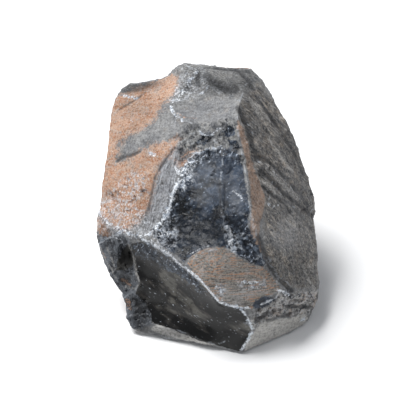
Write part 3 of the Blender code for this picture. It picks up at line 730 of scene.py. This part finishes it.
# noise patterns of the stone: lump size in mm, detail, roughness, and the way and stretch of a drawn-out one.
# Real grit and crystals are under half a mm, so the smallest are drawn as coarse as they need to show
grains = {
    "broad": (34, 3, 0.55, None, 1),  # slow changes across a face
    "patch": (12, 3, 0.65, None, 1),  # stains
    "mottle": (5, 4, 0.65, None, 1),
    "fleck": (2.6, 2, 0.5, (0.5, 0.1, 0.8), 3),  # painted glints: bright little flecks on fresh glass
    "small": (2.4, 3, 0.7, None, 1),  # crushed grains
    "fine": (1.4, 3, 0.7, None, 1),  # grit
    "speck": (0.9, 2, 0.7, None, 1),  # crystals
    "band": (4, 4, 0.7, (0.9, -0.25, 0.3), 3),  # flow bands
    "flank": (3.6, 4, 0.65, flankWay, 9),
    "flankFine": (1.5, 3, 0.7, flankWay, 7),
    "cheek": (2.2, 4, 0.65, cheekWay, 8),
    "scoop": (7, 4, 0.6, scoopWay, 5),
    "scoopFine": (1.6, 3, 0.7, scoopWay, 6),
    "wave": (15, 2, 0.5, scoopWay, 4),  # pale waves of painted highlight and black waves in smoky glass
    "dash": (1.5, 2, 0.5, scoopWay, 5),  # short glints
    "level": (1.5, 3, 0.65, (1, 0.15, -0.03), 30),  # thin lines of the shelf
    "hackle": (3, 4, 0.7, hackleWay, 3),
}

# patterns of thin lines, their values in the same order
veins = {
    "vein": (17, 2, 0.6, None, 1),
    "flankLine": (12, 2, 0.6, flankWay, 8),
    "cheekLine": (7, 2, 0.6, cheekWay, 8),
    "hackleLine": (9, 2, 0.6, hackleWay, 5),
    "scoopLine": (16, 1, 0.5, scoopWay, 5),
}

# the edge of each marking: its fade to each side in mm, and how strongly noise breaks it up
edges = {
    "mahogany": (4.5, 3.2),
    "flank": (4, 1.2),
    "hackle": (2.8, 1.5),
    "cheek": (4, 1.4),
    "strap": (0.9, 0.6),
    "shelf": (0.8, 0.5),
    "paleUndersideAndFloorReflection": (0.9, 0.4),
    "smokyGlass": (0.6, 0.35),
    "blackGlass": (1.0, 0.7),
    "crust": (1.6, 1.3),
    "shatter": (3, 2.2),
    "bruise": (4, 1.8),
    "crown": (5, 1.5),
    "pocket": (0.8, 0.3),
    "ear": (2, 1.2),
    "amber": (0.8, 0.5),
    "light": (0.9, 0.6),
    "dark": (1.2, 0.5),
    "crush": (0.8, 1.0),
    "fresh": (0.6, 0.45),
    "ridge": (0.8, 0.6),
}

# coats of colour, from the oldest skin to the freshest break: marking, grain, the grain's value where the
# coat starts and where it is full, strength and colour
coats = [
    # satin grey of an old fracture
    (None, "broad", 0.38, 0.62, 1.0, "8c8c8b"),
    (None, "band", 0.42, 0.62, 0.5, "5a5b5e"),
    (None, "patch", 0.5, 0.7, 0.45, "8d857c"),
    (None, "mottle", 0.52, 0.66, 0.35, "9fa0a1"),
    (None, "speck", 0.56, 0.72, 0.45, "b4b4b3"),
    (None, "fine", 0.47, 0.33, 0.6, "46474a"),
    # crown, darker with slanting streaks
    ("crown", None, 0, 1, 0.7, "7b7a77"),
    ("crown", "flank", 0.5, 0.38, 0.6, "45464a"),
    ("crown", "patch", 0.44, 0.34, 0.7, "4a4c50"),
    ("crown", "flankFine", 0.5, 0.38, 0.5, "3f4043"),
    ("crown", "flankFine", 0.53, 0.66, 0.45, "abaeb2"),
    ("crown", "flankLine", 0.8, 0.98, 0.4, "9da1a6"),
    # right flank, darker and warmer, with streaks along the grooves
    ("flank", None, 0, 1, 0.9, "9a9792"),
    ("flank", "patch", 0.45, 0.62, 0.7, "958775"),
    ("flank", "flank", 0.5, 0.4, 0.85, "333437"),
    ("flank", "flank", 0.52, 0.64, 0.8, "b5aa9e"),
    ("flank", "flankLine", 0.78, 0.96, 0.6, "b0ada7"),
    ("flank", "flankLine", 0.25, 0.1, 0.55, "35363a"),
    ("flank", "flankFine", 0.5, 0.38, 0.65, "36373a"),
    ("flank", "flankFine", 0.53, 0.65, 0.55, "c0bab1"),
    ("flank", "speck", 0.56, 0.7, 0.45, "b0aeaa"),
    ("flank", "fine", 0.47, 0.36, 0.6, "3b3c3f"),
    # matt mahogany, freckled with grey and pale grains
    ("mahogany", None, 0, 1, 1.0, "bb9277"),
    ("mahogany", "broad", 0.4, 0.6, 0.7, "b99a83"),
    ("mahogany", "broad", 0.5, 0.38, 0.55, "9c8370"),
    ("mahogany", "band", 0.48, 0.62, 0.75, "9f6945"),
    ("mahogany", "patch", 0.53, 0.68, 0.6, "98928c"),
    ("mahogany", "mottle", 0.54, 0.64, 0.6, "a09a95"),
    ("mahogany", "small", 0.54, 0.62, 0.5, "8e8580"),
    ("mahogany", "speck", 0.57, 0.68, 0.75, "ded2c6"),
    ("mahogany", "fine", 0.47, 0.36, 0.7, "684b3c"),
    # hackles: dark radial ridges
    ("hackle", "hackle", 0.4, 0.6, 0.95, "8b8b89"),
    ("hackle", "hackle", 0.5, 0.4, 0.85, "34363b"),
    ("hackle", "fine", 0.49, 0.36, 0.7, "25272b"),
    ("hackle", "hackleLine", 0.85, 0.98, 0.35, "aeb2b8"),
    ("hackle", "patch", 0.5, 0.43, 0.6, "3b3e44"),
    # cheek, streaked downward
    ("cheek", "cheek", 0.38, 0.62, 0.85, "8f9196"),
    ("cheek", "cheek", 0.5, 0.36, 0.9, "43454c"),
    ("cheek", "cheekLine", 0.8, 0.97, 0.6, "bfc1c5"),
    # brown strap down the ridge
    ("strap", None, 0, 1, 1.0, "968478"),
    ("strap", "band", 0.45, 0.62, 0.7, "997a63"),
    ("strap", "fine", 0.46, 0.34, 0.6, "55473e"),
    ("strap", "patch", 0.5, 0.4, 0.5, "6d5a4e"),
    ("strap", "speck", 0.57, 0.68, 0.65, "b9ada2"),
    # banded shelf: thin orange lines through grey-brown, nearly level
    ("shelf", None, 0, 1, 1.0, "8b8780"),
    ("shelf", "level", 0.52, 0.58, 0.8, "ac7a55"),
    ("shelf", "level", 0.46, 0.4, 0.85, "4b4643"),
    ("shelf", "patch", 0.5, 0.66, 0.5, "a09b98"),
    ("shelf", "speck", 0.55, 0.68, 0.5, "cac6c2"),
    ("shelf", "fine", 0.45, 0.34, 0.5, "55504c"),
    # pale grey under the stone's lower edge, partly its own colour and partly painted reflection of the white
    # floor
    ("paleUndersideAndFloorReflection", None, 0, 1, 1.0, "b8b6b2"),
    ("paleUndersideAndFloorReflection", "band", 0.45, 0.64, 0.6, "b2aea7"),
    ("paleUndersideAndFloorReflection", "level", 0.48, 0.38, 0.6, "6c6b6a"),
    ("paleUndersideAndFloorReflection", "mottle", 0.52, 0.64, 0.5, "c6c3be"),
    ("paleUndersideAndFloorReflection", "mottle", 0.46, 0.38, 0.25, "716f6d"),
    # ear and knob beside the pocket: dark, bluish, streaked downward
    ("ear", None, 0, 1, 0.95, "646970"),
    ("ear", "cheek", 0.5, 0.38, 0.85, "26282d"),
    ("ear", "cheek", 0.52, 0.66, 0.5, "7d8188"),
    ("ear", "patch", 0.5, 0.42, 0.85, "1d2128"),
    ("ear", "cheekLine", 0.8, 0.97, 0.55, "a4a9b0"),
    ("ear", "small", 0.58, 0.66, 0.5, "b9bdc3"),
    ("amber", "small", 0.42, 0.56, 0.8, "b0876a"),
    # smoky glass, nearly black where it is thick, with painted highlights in pale waves and dashes
    ("smokyGlass", None, 0, 1, 1.0, "1f1e1d"),
    ("smokyGlass", "scoop", 0.47, 0.62, 0.85, "44413d"),
    # painted highlights in pale waves
    ("smokyGlass", "wave", 0.55, 0.66, 0.6, "6b6963"),
    ("smokyGlass", "wave", 0.53, 0.46, 0.95, "0a0a0a"),
    ("smokyGlass", "scoopFine", 0.5, 0.38, 0.6, "121212"),
    ("smokyGlass", "scoopLine", 0.75, 0.98, 0.3, "72716e"),
    # painted glints in short dashes
    ("smokyGlass", "dash", 0.67, 0.74, 0.8, "b4bac1"),
    ("pocket", None, 0, 1, 1.0, "3c3b38"),
    # fresh black glass, blue in patches that are partly bruised glass and partly painted sheen, with painted
    # glints
    ("blackGlass", None, 0, 1, 1.0, "12151a"),
    ("blackGlass", "broad", 0.42, 0.6, 0.6, "364253"),
    ("blackGlass", "patch", 0.44, 0.68, 0.65, "455264"),
    ("blackGlass", "mottle", 0.54, 0.7, 0.45, "626f80"),
    ("blackGlass", "small", 0.5, 0.38, 0.5, "0b0d11"),
    ("blackGlass", "vein", 0.88, 0.99, 0.35, "8592a4"),
    # painted glints
    ("blackGlass", "fleck", 0.67, 0.75, 0.75, "b3bfce"),
    # shattered glass along the rim: dark blue with pale cracks, and painted glints
    ("shatter", None, 0, 1, 0.9, "2b313b"),
    ("shatter", "mottle", 0.5, 0.62, 0.65, "66717f"),
    ("shatter", "mottle", 0.48, 0.4, 0.85, "12151a"),
    ("shatter", "vein", 0.75, 0.97, 0.7, "b2bccb"),
    ("shatter", "fleck", 0.6, 0.68, 0.8, "c3cddb"),
    # crust of broken ground
    ("crust", "mottle", 0.4, 0.52, 0.95, "a09e9b"),
    ("crust", "patch", 0.5, 0.6, 0.55, "a8988a"),
    ("crust", "mottle", 0.47, 0.4, 0.85, "20252d"),
    ("crust", "vein", 0.75, 0.97, 0.6, "b4b8be"),
    ("crust", "small", 0.56, 0.64, 0.6, "b3b7bd"),
    ("crust", "small", 0.46, 0.38, 0.5, "24272d"),
    # bruises and crushed edges: pale powdered glass
    ("bruise", "mottle", 0.46, 0.6, 0.5, "a7acb3"),
    ("bruise", "small", 0.54, 0.63, 0.65, "cdd0d4"),
    ("light", "fine", 0.38, 0.56, 0.75, "b2b0ac"),
    # dark cracks, with painted shade along the grooves
    ("dark", "small", 0.3, 0.58, 0.88, "2c2d30"),
    ("crush", "patch", 0.4, 0.56, 0.8, "a8b2c0"),
    ("crush", "small", 0.49, 0.58, 1.0, "e6eaee"),
    ("ridge", "patch", 0.48, 0.58, 0.45, "b9bfc6"),
    ("fresh", "fine", 0.38, 0.54, 0.95, "eaeef3"),
]

# gloss: fresh glass breaks smooth, crushed and banded stone is rough. The values are those of the coats,
# with a roughness at the end
glosses = [
    (None, "fine", 0.3, 0.7, 1.0, 0.66),
    ("mahogany", None, 0, 1, 1.0, 0.82),
    ("shelf", None, 0, 1, 1.0, 0.7),
    ("ear", None, 0, 1, 0.8, 0.4),
    ("smokyGlass", None, 0, 1, 1.0, 0.22),
    ("pocket", None, 0, 1, 1.0, 0.65),
    ("blackGlass", None, 0, 1, 1.0, 0.16),
    ("blackGlass", "mottle", 0.45, 0.62, 0.8, 0.36),
    ("shatter", None, 0, 1, 0.9, 0.35),
    ("crust", None, 0, 1, 0.9, 0.48),
    ("crush", None, 0, 1, 1.0, 0.85),
]

obsidianFinish = {
    "ground": "707173",  # under all the coats
    "roughness": 0.5,  # under all the glosses
    "ior": 1.5,
    "shine": 0.32,  # weathering dulls the glass
    "tears": (4, 9),  # mm, by which fine and coarse noise break up the edge of a marking
    "bump": 0.6,
    "grit": 0.8,  # mm, higher than the real grit, so that it shows
    "fineGrit": 0.6,  # share of the fine grain in it, beside the specks
    "polished": 0.08,  # share of the grit left on smooth glass
    "grainless": {"smokyGlass": 1, "blackGlass": 1, "pocket": 1, "ear": 0.6},
}
grainMiddle = 0.5  # every noise lies about this

# volcanic glass: fresh breaks are black and glossy, old ones satin grey, iron-stained bands matt orange-brown
obsidian = bpy.data.materials.new("mahogany obsidian, broken and weathered")
obsidian.use_nodes = True
tree = obsidian.node_tree
shader = tree.nodes["Principled BSDF"]
texture = addNode(tree, "ShaderNodeTexCoord")
toMm = {0: texture.outputs["Object"], 1: [1 / mm] * 3}
inMm = addNode(tree, "ShaderNodeVectorMath", toMm, operation="MULTIPLY")

grainOut = {None: 1.0}
for name, (size, detail, rough, way, stretch) in (grains | veins).items():
    place = inMm.outputs[0]
    if way:
        turned = Vector(way).to_track_quat("X", "Z").to_euler()
        drawing = {"Vector": place, "Rotation": turned, "Scale": (stretch, 1, 1)}
        place = addNode(tree, "ShaderNodeMapping", drawing, vector_type="TEXTURE").outputs[0]
    values = {"Vector": place, "Scale": 1 / size, "Detail": detail, "Roughness": rough}
    noiseType = "RIDGED_MULTIFRACTAL" if name in veins else "FBM"
    grainOut[name] = addNode(tree, "ShaderNodeTexNoise", values, noise_type=noiseType).outputs["Fac"]

# two sizes of noise added together, about -3 to 3 mm, break up the edges
fineTear, coarseTear = obsidianFinish["tears"]
tearing = {0: grainOut["fine"], 1: fineTear, 2: -(fineTear + coarseTear) * grainMiddle}
half = addNode(tree, "ShaderNodeMath", tearing, operation="MULTIPLY_ADD")
tearing = {0: grainOut["mottle"], 1: coarseTear, 2: half.outputs[0]}
ragged = addNode(tree, "ShaderNodeMath", tearing, operation="MULTIPLY_ADD")
markOut = {None: 1.0}
for name, (fade, breaking) in edges.items():
    mark = addNode(tree, "ShaderNodeAttribute", attribute_name=name)
    tearing = {0: ragged.outputs[0], 1: breaking, 2: mark.outputs["Fac"]}
    torn = addNode(tree, "ShaderNodeMath", tearing, operation="MULTIPLY_ADD")
    span = {"Value": torn.outputs[0], "From Min": -fade, "From Max": fade}
    markOut[name] = addNode(tree, "ShaderNodeMapRange", span, interpolation_type="SMOOTHSTEP").outputs[0]

amounts = {}
for marking, pattern, start, full, strength in dict.fromkeys(row[:5] for row in coats + glosses):
    span = {"Value": grainOut[pattern], "From Min": start, "From Max": full, "To Max": strength}
    shown = addNode(tree, "ShaderNodeMapRange", span, interpolation_type="SMOOTHSTEP")
    amount = addNode(tree, "ShaderNodeMath", {0: shown.outputs[0], 1: markOut[marking]}, operation="MULTIPLY")
    amounts[marking, pattern, start, full, strength] = amount.outputs[0]

# a Mix node's share is input 0, and the two it mixes are 6 and 7 for colours and 2 and 3 for numbers
colour = addNode(tree, "ShaderNodeRGB").outputs[0]
colour.default_value = hexToLinear(obsidianFinish["ground"])
for *coat, tone in coats:
    layer = addNode(tree, "ShaderNodeMix", {0: amounts[tuple(coat)], 6: colour, 7: tone}, data_type="RGBA")
    colour = layer.outputs[2]
# the patches' tints with painted light and shade
tintAndPaintedLightMark = addNode(tree, "ShaderNodeAttribute", attribute_name="tintAndPaintedLight").outputs["Fac"]
# painted shade for what lies low in the relief, from the low mark
paintedRecessShadeMark = addNode(tree, "ShaderNodeAttribute", attribute_name="low").outputs["Fac"]
# glass has no grain of its own, so there the grain is held at its middle value
dryGrain = grainOut["small"]
for name, hold in obsidianFinish["grainless"].items():
    held = addNode(tree, "ShaderNodeMath", {0: markOut[name], 1: hold}, operation="MULTIPLY").outputs[0]
    still = addNode(tree, "ShaderNodeMix", {0: held, 2: dryGrain, 3: grainMiddle}, data_type="FLOAT")
    dryGrain = still.outputs[0]
# soft shading: painted shade where the relief lies low, dark patches of tint and painted shade are multiplied
# down, and light patches of tint and painted sheen are lifted. Source, its value where the shading starts and
# where it is full, strength, colour and way of mixing
for source, start, full, strength, tone, way in [
    # dark tints and painted shade from the patches
    (tintAndPaintedLightMark, 0, -1, 0.85, "5a5b5e", "MULTIPLY"),
    # light tints and painted sheen from the patches
    (tintAndPaintedLightMark, 0, 1, 0.7, "97999c", "SCREEN"),
    # painted shade where the relief lies low
    (paintedRecessShadeMark, 0.5, -1.2, 0.5, "606166", "MULTIPLY"),
    (dryGrain, 0.48, 0.36, 0.5, "5c5d60", "MULTIPLY"),
    (dryGrain, 0.52, 0.66, 0.5, "77787b", "SCREEN"),
]:
    span = {"Value": source, "From Min": start, "From Max": full, "To Max": strength}
    amount = addNode(tree, "ShaderNodeMapRange", span).outputs[0]
    mixed = {0: amount, 6: colour, 7: tone}
    colour = addNode(tree, "ShaderNodeMix", mixed, data_type="RGBA", blend_type=way).outputs[2]
tree.links.new(colour, shader.inputs["Base Color"])

rough = obsidianFinish["roughness"]
for *coat, value in glosses:
    layer = addNode(tree, "ShaderNodeMix", {0: amounts[tuple(coat)], 2: rough, 3: value}, data_type="FLOAT")
    rough = layer.outputs[0]
tree.links.new(rough, shader.inputs["Roughness"])
shader.inputs["IOR"].default_value = obsidianFinish["ior"]
shader.inputs["Specular IOR Level"].default_value = obsidianFinish["shine"]

# the finest roughness, nearly none on smooth glass
gritMix = {0: grainOut["fine"], 1: obsidianFinish["fineGrit"], 2: grainOut["speck"]}
grit = addNode(tree, "ShaderNodeMath", gritMix, operation="MULTIPLY_ADD")
gritLeft = {0: markOut["smokyGlass"], 2: 1.0, 3: obsidianFinish["polished"]}
polish = addNode(tree, "ShaderNodeMix", gritLeft, data_type="FLOAT")
height = addNode(tree, "ShaderNodeMath", {0: grit.outputs[0], 1: polish.outputs[0]}, operation="MULTIPLY")
gritHeight = obsidianFinish["grit"] * mm
relief = {"Strength": obsidianFinish["bump"], "Distance": gritHeight, "Height": height.outputs[0]}
bump = addNode(tree, "ShaderNodeBump", relief)
tree.links.new(bump.outputs[0], shader.inputs["Normal"])

mesh.materials.clear()
mesh.materials.append(obsidian)
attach(stonePiece, "root")
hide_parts("boulder")
print("obsidian finished")
